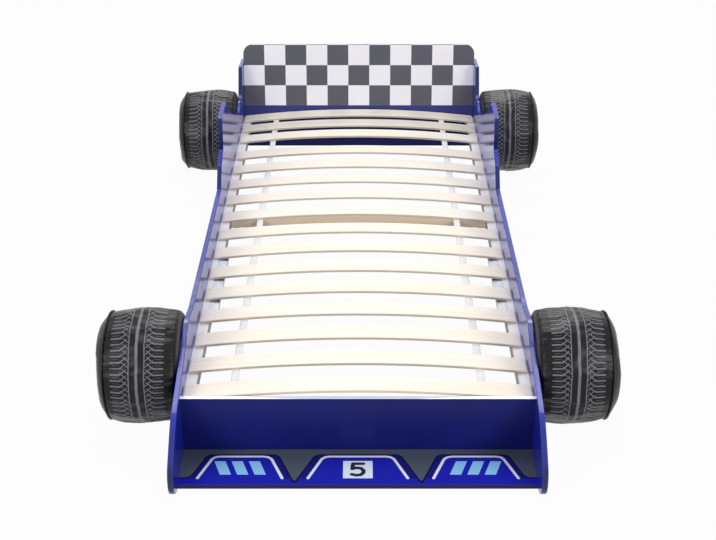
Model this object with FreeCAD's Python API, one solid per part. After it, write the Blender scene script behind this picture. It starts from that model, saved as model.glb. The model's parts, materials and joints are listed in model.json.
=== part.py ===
import FreeCAD, Part
import math
import os

# Racing-car bed for a child: two shaped side panels, four cross boards, sprung slats on side
# ledges and four stuffed soft tyres.  All lengths are in millimetres and all angles in degrees.
# X runs across the bed with the left side at -X, +Y runs from the nose to the pillow end, +Z is up.
# The origin lies on the floor under the middle of the side panels.

# ---- the space for the mattress ----
mattress_width = 900.0
mattress_length = 2000.0
mattress_side_clearance = 11.0
mattress_end_clearance = 3.5

# ---- side panels ----
side_thickness = 15.0
nose_overhang = 198.0
nose_corner_radius = 49.0
nose_front_height = 84.0
nose_front_radius = 60.0
nose_brow_run = 117.0
nose_brow_height = 177.0
nose_brow_radius = 200.0
edge_height = 255.0
crest_run = 352.0
crest_foot_height = 237.0
crest_rise_run = 72.0
crest_height = 270.5
crest_top_run = 25.0
crest_fall_run = 90.0
step_run = 55.0
ramp_foot_height = 320.0
ramp_run = 70.0
ramp_top_height = 347.0
fin_front_run = 17.0
fin_front_height = 456.0
fin_top_run = 128.0
fin_peak_height = 463.0
fin_tail_run = 446.0
fin_tail_sag = 21.0
saddle_run = 116.0
saddle_height = 260.0
plate_front_run = 63.0
plate_lead = 14.0
plate_height = 375.0
plate_tail_height = 361.0
tail_overhang = 127.0
outline_round = 7.0
saddle_round = 60.0
tail_corner_radius = 24.0
panel_edge_chamfer = 1.5
arc_piece_length = 45.0

# ---- cross boards ----
footboard_thickness = 15.0
footboard_top = 177.0
wing_thickness = 15.0
wing_reach = 146.0
head_panel_thickness = 15.0
head_panel_bottom = 32.0
head_panel_top = 160.0
headboard_thickness = 15.0
headboard_top = 441.0
headboard_lean = 12.3
headboard_corner_radius = 37.0
board_edge_chamfer = 1.2

# ---- ledges that carry the slats ----
ledge_width = 31.0
ledge_height = 29.0
ledge_top = 157.0
ledge_end_clearance = 1.0
ledge_joint_clearance = 0.5
ledge_joint_from_footboard = 636.0
ledge_edge_chamfer = 2.0
joint_plate_length = 390.0
joint_plate_lap = 12.5
joint_plate_overhang = 17.5
joint_plate_lip = 10.0
joint_plate_thickness = 1.5

# ---- slats ----
slat_count = 16
slat_width = 65.0
slat_thickness = 8.0
slat_crown = 28.0
slat_end_clearance = 4.5
slat_edge_chamfer = 1.6
first_slat_clearance = 3.0
last_slat_clearance = 4.5
close_slat_count = 3
close_slat_pitch = 106.0
wide_slat_pitch = 159.0

# ---- webbing straps under the slats ----
strap_width = 21.0
strap_thickness = 1.2
strap_offset = 329.0
strap_clearance = 0.3
strap_end_margin = 6.0

# ---- crossbeam under the middle of the bed ----
beam_thickness = 22.0
beam_bottom = 139.0
beam_front_setback = 4.0
beam_top_clearance = 2.2
beam_end_clearance = 2.5
stirrup_thickness = 2.0
stirrup_seat = 26.0
stirrup_wing = 14.0

# ---- stuffed tyres ----
tyre_radius = 159.0
tyre_floor_flat = 3.0
tyre_tread_width = 195.0
tyre_seam_radius = 146.0
tyre_wall_bulge = 25.0
tyre_wall_radius = 98.0
tyre_wall_dimple = 12.0
tyre_inner_face_radius = 122.0
tyre_inner_shoulder = 16.0
tyre_clearance = 0.4
tyre_crown_steps = 4
tyre_wall_steps = 3
tyre_sides = 36
front_axle_inset = 393.0
rear_axle_inset = 264.0

# ---- boards inside the tyres and their bolts ----
wheel_board_radius = 90.0
wheel_board_thickness = 12.0
wheel_board_clearance = 0.3
wheel_bolt_spread = 120.0
wheel_bolt_height = 104.0
wheel_bolt_diameter = 6.0
wheel_bolt_hole_clearance = 0.5
wheel_bolt_head_diameter = 17.0
wheel_bolt_head_height = 2.4
wheel_bolt_length = 26.0
insert_diameter = 10.0
insert_length = 11.0
insert_fit = 0.1

# ---- flat-pack fittings in the ends of the cross boards ----
cam_diameter = 15.0
cam_depth = 11.5
cam_setback = 34.0
cam_fit = 0.1
cam_bolt_diameter = 6.0
cam_bolt_hole_clearance = 0.8
cam_bolt_anchor = 9.0
dowel_diameter = 8.0
dowel_length = 28.0
dowel_anchor = 9.0
dowel_fit = 0.1
fitting_shares = (0.22, 0.5, 0.78)

# ---- flat sides that stand for small round sections ----
rod_sides = 6
cam_sides = 8

# ---- screws ----
screw_diameter = 4.0
screw_head_diameter = 8.0
screw_head_height = 2.6
screw_hole_fit = 0.1
ledge_screw_length = 40.0
ledge_screw_end_inset = 60.0
ledge_screw_pitch = 430.0
plate_screw_length = 10.0
plate_screw_end_inset = 25.0
plate_screw_count = 4
slat_screw_length = 22.0
slat_screw_inset = 14.0
stirrup_screw_length = 16.0

# ---- values that follow from the sizes above ----
inner_width = mattress_width + 2 * mattress_side_clearance
inner_length = mattress_length + 2 * mattress_end_clearance
inner_x = inner_width / 2
outer_x = inner_x + side_thickness
panel_length = nose_overhang + footboard_thickness + inner_length + tail_overhang
nose_y = -panel_length / 2
tail_y = panel_length / 2
foot_face_y = nose_y + nose_overhang
foot_back_y = foot_face_y + footboard_thickness
head_face_y = foot_back_y + inner_length
ledge_inner_x = inner_x - ledge_width
ledge_bottom = ledge_top - ledge_height
ledge_front_y = foot_back_y + ledge_end_clearance
ledge_rear_y = head_face_y - ledge_end_clearance
ledge_joint_y = foot_back_y + ledge_joint_from_footboard
front_axle_y = nose_y + front_axle_inset
rear_axle_y = tail_y - rear_axle_inset
axle_height = tyre_radius - tyre_floor_flat
slat_half_length = inner_x - slat_end_clearance
slat_radius = (slat_half_length ** 2 + slat_crown ** 2) / (2 * slat_crown)
slat_centre_z = ledge_top + slat_crown - slat_radius
first_slat_y = foot_back_y + first_slat_clearance
slat_run = inner_length - first_slat_clearance - last_slat_clearance - slat_width
even_slat_steps = slat_count - close_slat_count - 1
close_slat_run = wide_slat_pitch + (close_slat_count - 1) * close_slat_pitch
slat_pitch = (slat_run - close_slat_run) / even_slat_steps
beam_front_y = first_slat_y + slat_count // 2 * slat_pitch + beam_front_setback
wing_front_y = foot_face_y - wing_reach
ledge_screw_z = ledge_top - ledge_height / 2
lean_sine = math.sin(math.radians(headboard_lean))
lean_cosine = math.cos(math.radians(headboard_lean))
cut_margin = 5.0

SIDES = {"left": -1, "right": 1}


def vec(x, y, z):
    return FreeCAD.Vector(x, y, z)


def save(name, solids):
    """Write one sub-part: a single solid, or a group of separate like solids."""
    group = solids if isinstance(solids, list) else [solids]
    shape = group[0] if len(group) == 1 else Part.makeCompound(group)
    shape.exportStep("parts/" + name + ".step")


def box(x0, x1, y0, y1, z0, z1):
    """Box between two corners given in any order along X."""
    low_x = min(x0, x1)
    return Part.makeBox(abs(x1 - x0), y1 - y0, z1 - z0, vec(low_x, y0, z0))


def prism(foot, axis, length, diameter, sides):
    """Round bar drawn with a few flat sides; the diameter is measured over its corners."""
    across = axis.cross(vec(0.2, 0.3, 1)).normalize()
    upright = axis.cross(across)
    ring = []
    for i in range(sides + 1):
        angle = 2 * math.pi * (i % sides) / sides
        ring.append(foot + (across * math.cos(angle) + upright * math.sin(angle)) * (diameter / 2))
    return Part.Face(Part.makePolygon(ring)).extrude(axis * length)


def rod_x(x0, x1, y, z, diameter):
    """Bar along X between two stations given in any order."""
    return prism(vec(min(x0, x1), y, z), vec(1, 0, 0), abs(x1 - x0), diameter, rod_sides)


def mirrored(shape):
    """The same shape on the other side of the bed."""
    return shape.mirror(vec(0, 0, 0), vec(1, 0, 0))


def on_side(shape, side):
    """A shape modelled for the right side, placed on the named side."""
    return shape if SIDES[side] > 0 else mirrored(shape)


def fillet_reaches(points, radii):
    """Length of side that each corner's rounding takes, shared fairly where two roundings meet."""
    count = len(points)
    reaches = []
    for i in range(count):
        before = points[i - 1] - points[i]
        after = points[(i + 1) % count] - points[i]
        reaches.append(radii[i] / math.tan(before.getAngle(after) / 2))
    shares = [1.0] * count
    for i in range(count):
        following = (i + 1) % count
        side = (points[following] - points[i]).Length
        wanted = reaches[i] + reaches[following]
        if wanted > 0.98 * side:
            shares[i] = min(shares[i], 0.98 * side / wanted)
            shares[following] = min(shares[following], 0.98 * side / wanted)
    return [reach * share for reach, share in zip(reaches, shares)]


def arc_pieces(centre, start, end):
    """Arc of less than half a turn about its centre, as equal pieces no longer than the chosen length."""
    spoke = start - centre
    turn = spoke.getAngle(end - centre)
    axis = spoke.cross(end - centre)
    count = math.ceil(spoke.Length * turn / arc_piece_length)

    def place(share):
        return centre + FreeCAD.Rotation(axis, math.degrees(turn * share)).multVec(spoke)

    return [Part.Arc(place(i / count), place((i + 0.5) / count), place((i + 1) / count)).toShape()
            for i in range(count)]


def rounded_face(corners):
    """Flat face in the YZ plane through (y, z, radius) corners, with each corner rounded."""
    points = [vec(0, y, z) for y, z, radius in corners]
    reaches = fillet_reaches(points, [radius for y, z, radius in corners])
    count = len(points)
    starts = []
    ends = []
    centres = []
    for i in range(count):
        before = (points[i - 1] - points[i]).normalize()
        after = (points[(i + 1) % count] - points[i]).normalize()
        half_angle = before.getAngle(after) / 2
        radius = reaches[i] * math.tan(half_angle)
        bisector = (before + after).normalize()
        starts.append(points[i] + before * reaches[i])
        ends.append(points[i] + after * reaches[i])
        centres.append(points[i] + bisector * (radius / math.sin(half_angle)))
    edges = []
    for i in range(count):
        edges += arc_pieces(centres[i], starts[i], ends[i])
        edges.append(Part.LineSegment(ends[i], starts[(i + 1) % count]).toShape())
    return Part.Face(Part.Wire(edges))


# ---- places of the fittings ----

def lean_point(along, deep):
    """Point of the leaning board, measured up its face from the lower front edge and into it."""
    y = head_face_y + along * lean_sine + deep * lean_cosine
    z = head_panel_top + along * lean_cosine - deep * lean_sine
    return y, z


def board_fittings():
    """For each cross board: its cam, dowel and cam places, the normal of its hidden face, its thickness."""
    foot_y = foot_face_y + footboard_thickness / 2
    foot_height = footboard_top - wing_thickness
    foot_places = [(foot_y, wing_thickness + share * foot_height) for share in fitting_shares]
    wing_depth = wing_reach + footboard_thickness
    wing_places = [(wing_front_y + share * wing_depth, wing_thickness / 2) for share in fitting_shares]
    panel_y = head_face_y + head_panel_thickness / 2
    panel_height = head_panel_top - head_panel_bottom
    panel_places = [(panel_y, head_panel_bottom + share * panel_height) for share in fitting_shares]
    plate_reach = (plate_tail_height - head_panel_top) / lean_cosine
    lean_places = [lean_point(share * plate_reach, headboard_thickness / 2) for share in fitting_shares]
    return {
        "footboard": (foot_places, vec(0, 1, 0), footboard_thickness),
        "front_wing": (wing_places, vec(0, 0, -1), wing_thickness),
        "head_panel": (panel_places, vec(0, 1, 0), head_panel_thickness),
        "headboard": (lean_places, vec(0, lean_cosine, -lean_sine), headboard_thickness),
    }


def cam_cylinder(place, normal, board, x, spare):
    """Cam housing sunk into the hidden face of a board, with spare width and depth."""
    mouth = vec(x, place[0], place[1]) + normal * (board / 2)
    return prism(mouth, normal * -1, cam_depth + spare, cam_diameter + spare, cam_sides)


def with_fitting_holes(board_shape, name):
    """A cross board with its cam pockets, cam bolt holes and dowel holes at both ends."""
    places, normal, board = board_fittings()[name]
    lower, middle, upper = places
    tools = []
    for sign in (-1, 1):
        cam_x = sign * (inner_x - cam_setback)
        end_x = sign * (inner_x + cut_margin)
        for place in (lower, upper):
            tools.append(cam_cylinder(place, normal, board, cam_x, cam_fit))
            tools.append(rod_x(cam_x, end_x, place[0], place[1], cam_bolt_diameter + cam_bolt_hole_clearance))
        dowel_tip = sign * (inner_x + dowel_anchor - dowel_length - cam_fit)
        tools.append(rod_x(dowel_tip, end_x, middle[0], middle[1], dowel_diameter + dowel_fit))
    return board_shape.cut(tools)


def wheel_bolt_places():
    """Centres (y, z) of the bolts that hold the four tyres, two for each axle line."""
    places = []
    for axle_y in (front_axle_y, rear_axle_y):
        places.append((axle_y - wheel_bolt_spread / 2, wheel_bolt_height))
        places.append((axle_y + wheel_bolt_spread / 2, wheel_bolt_height))
    return places


def ledge_lengths():
    """Front and rear length of each ledge as (name, first y, last y)."""
    gap = ledge_joint_clearance / 2
    return [("front", ledge_front_y, ledge_joint_y - gap), ("rear", ledge_joint_y + gap, ledge_rear_y)]


def ledge_screw_stations(first_y, last_y):
    """Even screw stations along one length of ledge, no further apart than the chosen pitch."""
    run = last_y - first_y - 2 * ledge_screw_end_inset
    gaps = max(1, math.ceil(run / ledge_screw_pitch))
    return [first_y + ledge_screw_end_inset + i * run / gaps for i in range(gaps + 1)]


# ---- screws ----

def sunk_screw(tip_length, spare):
    """Wood screw with a sunk head: its head is level with the origin and its shank runs along -Z."""
    down = vec(0, 0, -1)
    head = prism(vec(0, 0, 0), down, screw_head_height + spare, screw_head_diameter + spare, rod_sides)
    shank = prism(vec(0, 0, 0), down, tip_length + spare, screw_diameter + spare, rod_sides)
    return head.fuse(shank).removeSplitter()


def screw_along_x(x, y, z, length, spare):
    """Screw whose head lies at x and whose shank runs towards +X."""
    screw = sunk_screw(length, spare)
    screw.rotate(vec(0, 0, 0), vec(0, 1, 0), -90)
    screw.translate(vec(x, y, z))
    return screw


def screw_down(x, y, z, length, spare):
    """Screw whose head lies at z and whose shank runs down."""
    screw = sunk_screw(length, spare)
    screw.translate(vec(x, y, z))
    return screw


# ---- side panels ----

def side_outline():
    """Corners of the side panel, from the bottom of the nose along the top edge to the tail."""
    crest_foot_y = nose_y + crest_run
    crest_front_y = crest_foot_y + crest_rise_run
    crest_back_y = crest_front_y + crest_top_run
    plate_top_y = head_face_y - plate_lead
    plate_foot_y = plate_top_y - plate_front_run
    saddle_y = plate_foot_y - saddle_run
    fin_peak_y = saddle_y - fin_tail_run
    fin_front_y = fin_peak_y - fin_top_run
    ramp_top_y = fin_front_y - fin_front_run
    ramp_foot_y = ramp_top_y - ramp_run
    sag_z = (fin_peak_height + edge_height) / 2 - 2 * fin_tail_sag
    sag_radius = fin_tail_run ** 2 / (8 * fin_tail_sag)
    return [
        (nose_y, 0, nose_corner_radius),
        (nose_y, nose_front_height, nose_front_radius),
        (nose_y + nose_brow_run, nose_brow_height, nose_brow_radius),
        (crest_foot_y, crest_foot_height, outline_round),
        (crest_front_y, crest_height, outline_round),
        (crest_back_y, crest_height, saddle_round),
        (crest_back_y + crest_fall_run, edge_height, saddle_round),
        (ramp_foot_y - step_run, edge_height, outline_round),
        (ramp_foot_y, ramp_foot_height, outline_round),
        (ramp_top_y, ramp_top_height, outline_round),
        (fin_front_y, fin_front_height, outline_round),
        (fin_peak_y, fin_peak_height, outline_round),
        ((fin_peak_y + saddle_y) / 2, sag_z, sag_radius),
        (saddle_y, edge_height, saddle_round),
        (plate_foot_y, saddle_height, saddle_round),
        (plate_top_y, plate_height, outline_round),
        (tail_y, plate_tail_height, outline_round),
        (tail_y, 0, tail_corner_radius),
    ]


def flat_edges(solid, x):
    """Edges of a solid that lie flat in the plane at x."""
    return [edge for edge in solid.Edges
            if abs(edge.BoundBox.XMin - x) < 0.01 and abs(edge.BoundBox.XMax - x) < 0.01]


def side_panel(side):
    """Shaped side panel with softened edges, blind holes for the fittings and through bolt holes."""
    face = rounded_face(side_outline())
    face.translate(vec(inner_x, 0, 0))
    panel = face.extrude(vec(side_thickness, 0, 0))
    panel = panel.makeChamfer(panel_edge_chamfer, flat_edges(panel, outer_x) + flat_edges(panel, inner_x))
    start_x = inner_x - cut_margin
    tools = []
    for places, normal, board in board_fittings().values():
        lower, middle, upper = places
        for y, z in (lower, upper):
            tools.append(rod_x(start_x, inner_x + cam_bolt_anchor, y, z, cam_bolt_diameter + cam_fit))
        tools.append(rod_x(start_x, inner_x + dowel_anchor, middle[0], middle[1], dowel_diameter + dowel_fit))
    for y, z in wheel_bolt_places():
        bolt_hole = wheel_bolt_diameter + wheel_bolt_hole_clearance
        tools.append(rod_x(start_x, outer_x + cut_margin, y, z, bolt_hole))
    for name, first_y, last_y in ledge_lengths():
        for y in ledge_screw_stations(first_y, last_y):
            tools.append(screw_along_x(ledge_inner_x, y, ledge_screw_z, ledge_screw_length, screw_hole_fit))
    return on_side(panel.cut(tools), side)


# ---- cross boards ----

def softened_box(x0, x1, y0, y1, z0, z1, chamfer):
    """Board whose long edges, those across the bed, are softened."""
    board = box(x0, x1, y0, y1, z0, z1)
    long_edges = [edge for edge in board.Edges if edge.BoundBox.XLength > (x1 - x0) / 2]
    return board.makeChamfer(chamfer, long_edges)


def footboard():
    """Upright board between the side panels, standing on the rear of the wing."""
    board = softened_box(-inner_x, inner_x, foot_face_y, foot_back_y, wing_thickness, footboard_top,
                         board_edge_chamfer)
    return with_fitting_holes(board, "footboard")


def front_wing():
    """Flat board close to the floor in front of the footboard, carried by the nose of each side panel."""
    board = softened_box(-inner_x, inner_x, wing_front_y, foot_back_y, 0, wing_thickness, board_edge_chamfer)
    return with_fitting_holes(board, "front_wing")


def head_panel():
    """Upright board behind the last slat, clear of the floor, that carries the leaning headboard."""
    board = box(-inner_x, inner_x, head_face_y, head_face_y + head_panel_thickness, head_panel_bottom,
                head_panel_top)
    return with_fitting_holes(board, "head_panel")


def headboard():
    """Leaning board with two rounded top corners, its lower edge bevelled to sit on the head panel."""
    reach = (headboard_top - head_panel_top) / lean_cosine
    below = headboard_thickness
    plate = box(-inner_x, inner_x, 0, headboard_thickness, -below, reach)
    corners = [edge for edge in plate.Edges if edge.BoundBox.YLength > headboard_thickness / 2
               and edge.BoundBox.ZMin > 0]
    plate = plate.makeFillet(headboard_corner_radius, corners)
    rim = [edge for edge in plate.Edges
           if edge.BoundBox.YLength < board_edge_chamfer / 10 and edge.BoundBox.ZMin > 0]
    plate = plate.makeChamfer(board_edge_chamfer, rim)
    plate.rotate(vec(0, 0, 0), vec(1, 0, 0), -headboard_lean)
    plate.translate(vec(0, head_face_y, head_panel_top))
    below_floor = box(-inner_x - cut_margin, inner_x + cut_margin, head_face_y - cut_margin - below,
                      tail_y + cut_margin, head_panel_top - 2 * below - cut_margin, head_panel_top)
    return with_fitting_holes(plate.cut(below_floor), "headboard")


# ---- fittings ----

def cam_locks():
    """Round cam housings sunk in the hidden faces of the cross boards, open where their bolts enter."""
    cams = []
    for places, normal, board in board_fittings().values():
        lower, middle, upper = places
        for place in (lower, upper):
            for sign in (-1, 1):
                cam_x = sign * (inner_x - cam_setback)
                throat = rod_x(cam_x, sign * inner_x, place[0], place[1],
                               cam_bolt_diameter + cam_bolt_hole_clearance)
                cams.append(cam_cylinder(place, normal, board, cam_x, 0).cut(throat))
    return cams


def cam_bolts():
    """Bolts screwed into the side panels whose necks reach the cams."""
    bolts = []
    for places, normal, board in board_fittings().values():
        lower, middle, upper = places
        for place in (lower, upper):
            for sign in (-1, 1):
                anchored_x = sign * (inner_x + cam_bolt_anchor)
                cam_x = sign * (inner_x - cam_setback + cam_fit)
                bolts.append(rod_x(anchored_x, cam_x, place[0], place[1], cam_bolt_diameter))
    return bolts


def dowels():
    """Wooden dowels that keep each cross board from turning about its cams."""
    pins = []
    for places, normal, board in board_fittings().values():
        middle = places[1]
        for sign in (-1, 1):
            anchored_x = sign * (inner_x + dowel_anchor - cam_fit)
            board_x = sign * (inner_x + dowel_anchor - dowel_length)
            pins.append(rod_x(anchored_x, board_x, middle[0], middle[1], dowel_diameter))
    return pins


# ---- ledges ----

def ledge(side, first_y, last_y):
    """One length of the rail that carries the slat ends, drilled for its own and the slats' screws."""
    rail = box(ledge_inner_x, inner_x, first_y, last_y, ledge_bottom, ledge_top)
    inner_edges = [edge for edge in rail.Edges if edge.BoundBox.YLength > 1
                   and abs(edge.BoundBox.XMin - ledge_inner_x) < 0.01]
    rail = rail.makeChamfer(ledge_edge_chamfer, inner_edges)
    tools = [screw_along_x(ledge_inner_x, y, ledge_screw_z, ledge_screw_length, screw_hole_fit)
             for y in ledge_screw_stations(first_y, last_y)]
    tools += [plate_screw(y, screw_hole_fit) for y in plate_screw_stations()]
    tools += [screw_down(x, y, z, slat_screw_length, screw_hole_fit) for x, y, z in slat_screw_places()]
    tools += stirrup_screw_shapes(screw_hole_fit)
    near = [tool for tool in tools if tool.BoundBox.YMax > first_y and tool.BoundBox.YMin < last_y]
    return on_side(rail.cut(near), side)


def ledge_screws():
    """Screws that hold the ledges to the side panels."""
    screws = []
    for name, first_y, last_y in ledge_lengths():
        for y in ledge_screw_stations(first_y, last_y):
            screw = screw_along_x(ledge_inner_x, y, ledge_screw_z, ledge_screw_length, 0)
            screws += [screw, mirrored(screw)]
    return screws


def plate_screw_stations():
    """Screw stations along the angle that joins two lengths of ledge."""
    span = joint_plate_length - 2 * plate_screw_end_inset
    first = ledge_joint_y - span / 2
    return [first + i * span / (plate_screw_count - 1) for i in range(plate_screw_count)]


def plate_screw(y, spare):
    """Screw down through the flat leg of the joining angle into the ledge."""
    x = ledge_inner_x + joint_plate_lap / 2
    return screw_down(x, y, ledge_top + joint_plate_thickness, plate_screw_length, spare)


def joint_plate(side):
    """Steel angle laid over the joint of the two lengths of ledge, its short leg turned down inside."""
    first_y = ledge_joint_y - joint_plate_length / 2
    last_y = ledge_joint_y + joint_plate_length / 2
    edge_x = ledge_inner_x - joint_plate_overhang
    top_z = ledge_top + joint_plate_thickness
    flat = box(edge_x, ledge_inner_x + joint_plate_lap, first_y, last_y, ledge_top, top_z)
    lip = box(edge_x, edge_x + joint_plate_thickness, first_y, last_y, ledge_top - joint_plate_lip, top_z)
    angle = flat.fuse(lip).removeSplitter()
    return on_side(angle.cut([plate_screw(y, screw_hole_fit) for y in plate_screw_stations()]), side)


def plate_screws():
    """Screws of both joining angles."""
    screws = []
    for y in plate_screw_stations():
        screw = plate_screw(y, 0)
        screws += [screw, mirrored(screw)]
    return screws


# ---- slats ----

def slat_strip(x0, x1, below, thickness):
    """Face in the XZ plane between two arcs that run parallel to the underside of the slats."""
    low_radius = slat_radius - below
    high_radius = low_radius + thickness

    def arc_point(x, radius):
        return vec(x, 0, slat_centre_z + math.sqrt(radius ** 2 - x ** 2))

    middle = (x0 + x1) / 2
    low = Part.Arc(arc_point(x0, low_radius), arc_point(middle, low_radius), arc_point(x1, low_radius))
    high = Part.Arc(arc_point(x1, high_radius), arc_point(middle, high_radius), arc_point(x0, high_radius))
    right = Part.LineSegment(arc_point(x1, low_radius), arc_point(x1, high_radius))
    left = Part.LineSegment(arc_point(x0, high_radius), arc_point(x0, low_radius))
    return Part.Face(Part.Wire([low.toShape(), right.toShape(), high.toShape(), left.toShape()]))


def slat_first_edge(index):
    """Y of the front edge of a slat, counted from the footboard; the last few stand closer together."""
    if index <= even_slat_steps:
        return first_slat_y + index * slat_pitch
    close_steps = index - even_slat_steps - 1
    return first_slat_y + even_slat_steps * slat_pitch + wide_slat_pitch + close_steps * close_slat_pitch


def slat_top_at(x):
    """Height of the upper face of a slat at x."""
    return slat_centre_z + math.sqrt((slat_radius + slat_thickness) ** 2 - x ** 2)


def slat_screw_places():
    """Head centres of the screws through the right ends of the first and the last slat."""
    x = slat_half_length - slat_screw_inset
    middles = [slat_first_edge(index) + slat_width / 2 for index in (0, slat_count - 1)]
    return [(x, y, slat_top_at(x)) for y in middles]


def slat(index):
    """Sprung slat of bent wood: an arched strip whose upper long edges are chamfered."""
    strip = slat_strip(-slat_half_length, slat_half_length, 0, slat_thickness)
    strip.translate(vec(0, slat_first_edge(index), 0))
    board = strip.extrude(vec(0, slat_width, 0))
    upper_edges = [edge for edge in board.Edges if edge.BoundBox.XLength > slat_half_length
                   and edge.BoundBox.ZMax > ledge_top + slat_crown + slat_thickness / 2]
    board = board.makeChamfer(slat_edge_chamfer, upper_edges)
    for x, y, z in slat_screw_places():
        if abs(y - slat_first_edge(index)) < slat_width:
            screw = screw_down(x, y, z, slat_screw_length, screw_hole_fit)
            board = board.cut([screw, mirrored(screw)])
    return board


def slat_screws():
    """Screws through the ends of the first and the last slat into the ledges."""
    screws = []
    for x, y, z in slat_screw_places():
        screw = screw_down(x, y, z, slat_screw_length, 0)
        screws += [screw, mirrored(screw)]
    return screws


# ---- straps ----

def strap(side):
    """Webbing strap that keeps the slats apart, laid flat against their undersides."""
    strip = slat_strip(strap_offset - strap_width / 2, strap_offset + strap_width / 2,
                       strap_clearance + strap_thickness, strap_thickness)
    first_y = slat_first_edge(0) + strap_end_margin
    last_y = slat_first_edge(slat_count - 1) + slat_width - strap_end_margin
    strip.translate(vec(0, first_y, 0))
    return on_side(strip.extrude(vec(0, last_y - first_y, 0)), side)


# ---- crossbeam ----

def crossbeam():
    """Cross rail under the middle slat, its upper edge arched like the slats, drilled for its screws."""
    half_length = ledge_inner_x - beam_end_clearance
    crown_radius = slat_radius - beam_top_clearance
    low = [vec(-half_length, 0, beam_bottom), vec(half_length, 0, beam_bottom)]
    end_z = slat_centre_z + math.sqrt(crown_radius ** 2 - half_length ** 2)
    high = [vec(half_length, 0, end_z), vec(-half_length, 0, end_z)]
    top = Part.Arc(high[0], vec(0, 0, slat_centre_z + crown_radius), high[1])
    wire = Part.Wire([Part.LineSegment(low[0], low[1]).toShape(), Part.LineSegment(low[1], high[0]).toShape(),
                      top.toShape(), Part.LineSegment(high[1], low[0]).toShape()])
    face = Part.Face(wire)
    face.translate(vec(0, beam_front_y, 0))
    beam = face.extrude(vec(0, beam_thickness, 0))
    return beam.cut(stirrup_up_screws(screw_hole_fit))


def stirrup_screw_shapes(spare):
    """Screws that hold the right stirrup to the ledge."""
    z = beam_bottom + (ledge_top - beam_bottom) / 2
    offset = beam_thickness / 2 + stirrup_wing / 2
    middle_y = beam_front_y + beam_thickness / 2
    face_x = ledge_inner_x - stirrup_thickness
    return [screw_along_x(face_x, middle_y + sign * offset, z, stirrup_screw_length, spare)
            for sign in (-1, 1)]


def stirrup_up_screws(spare):
    """Screws up through the seats of both stirrups into the beam."""
    x = ledge_inner_x - stirrup_seat / 2 - stirrup_thickness
    screw = sunk_screw(stirrup_screw_length, spare)
    screw.rotate(vec(0, 0, 0), vec(1, 0, 0), 180)
    screw.translate(vec(x, beam_front_y + beam_thickness / 2, beam_bottom - stirrup_thickness))
    return [screw, mirrored(screw)]


def crossbeam_stirrups():
    """Bent steel stirrups: a plate on each ledge and a seat under each end of the beam."""
    half_width = beam_thickness / 2 + stirrup_wing
    middle_y = beam_front_y + beam_thickness / 2
    low_z = beam_bottom - stirrup_thickness
    back = box(ledge_inner_x - stirrup_thickness, ledge_inner_x, middle_y - half_width, middle_y + half_width,
               low_z, ledge_top - ledge_edge_chamfer)
    seat = box(ledge_inner_x - stirrup_thickness - stirrup_seat, ledge_inner_x,
               middle_y - beam_thickness / 2, middle_y + beam_thickness / 2, low_z, beam_bottom)
    stirrup = back.fuse(seat).removeSplitter()
    stirrup = stirrup.cut(stirrup_screw_shapes(screw_hole_fit) + stirrup_up_screws(screw_hole_fit))
    return [stirrup, mirrored(stirrup)]


def crossbeam_screws():
    """Screws of both stirrups."""
    into_ledge = stirrup_screw_shapes(0)
    return into_ledge + [mirrored(screw) for screw in into_ledge] + stirrup_up_screws(0)


# ---- tyres ----

def arc_points(centre_x, centre_r, radius, first, last, steps):
    """Points of an arc in the profile plane, from one angle to another in equal steps."""
    points = []
    for i in range(steps + 1):
        angle = math.radians(first + (last - first) * i / steps)
        points.append((centre_x + radius * math.cos(angle), centre_r + radius * math.sin(angle)))
    return points


def tyre_profile():
    """Half section of a stuffed tyre as (x, radius) points, from its inner face to its outer wall."""
    drop = tyre_radius - tyre_seam_radius
    half_tread = tyre_tread_width / 2
    crown_radius = (half_tread ** 2 + drop ** 2) / (2 * drop)
    crown_angle = math.degrees(math.asin(half_tread / crown_radius))
    shoulder_angle = math.degrees(math.asin((half_tread - tyre_inner_shoulder) / crown_radius))
    crown = arc_points(half_tread, tyre_radius - crown_radius, crown_radius,
                       90 + shoulder_angle, 90 - crown_angle, tyre_crown_steps)
    fall = tyre_seam_radius - tyre_wall_radius
    wall_radius = (tyre_wall_bulge ** 2 + fall ** 2) / (2 * tyre_wall_bulge)
    wall_angle = math.degrees(math.asin(fall / wall_radius))
    wall = arc_points(tyre_tread_width + tyre_wall_bulge - wall_radius, tyre_wall_radius, wall_radius,
                      wall_angle, 0, tyre_wall_steps)
    shoulder_top = crown[0]
    shoulder_rise = shoulder_top[1] - tyre_inner_face_radius
    shoulder_mid = (0.25 * tyre_inner_shoulder, tyre_inner_face_radius + 0.6 * shoulder_rise)
    dimple = (tyre_tread_width + tyre_wall_bulge - tyre_wall_dimple, 0.3 * tyre_wall_radius)
    return [(0, tyre_inner_face_radius), shoulder_mid] + crown + wall[1:] + [dimple]


def tyre_ring(x, axle_y, radius):
    """Ring of flat sides about the axle of a tyre."""
    ring = []
    for i in range(tyre_sides + 1):
        angle = 2 * math.pi * ((i % tyre_sides) + 0.5) / tyre_sides
        ring.append(vec(x, axle_y + radius * math.sin(angle), axle_height + radius * math.cos(angle)))
    return ring


def ring_solid(rings):
    """Solid with flat facets between rings that lie one behind the other."""
    faces = [Part.Face(Part.makePolygon(rings[0])), Part.Face(Part.makePolygon(rings[-1]))]
    for near, far in zip(rings, rings[1:]):
        for i in range(tyre_sides):
            corners = [near[i], near[i + 1], far[i + 1], far[i], near[i]]
            faces.append(Part.Face(Part.makePolygon(corners)))
    shell = Part.makeShell(faces)
    shell.sewShape()
    return Part.makeSolid(shell)


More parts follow.
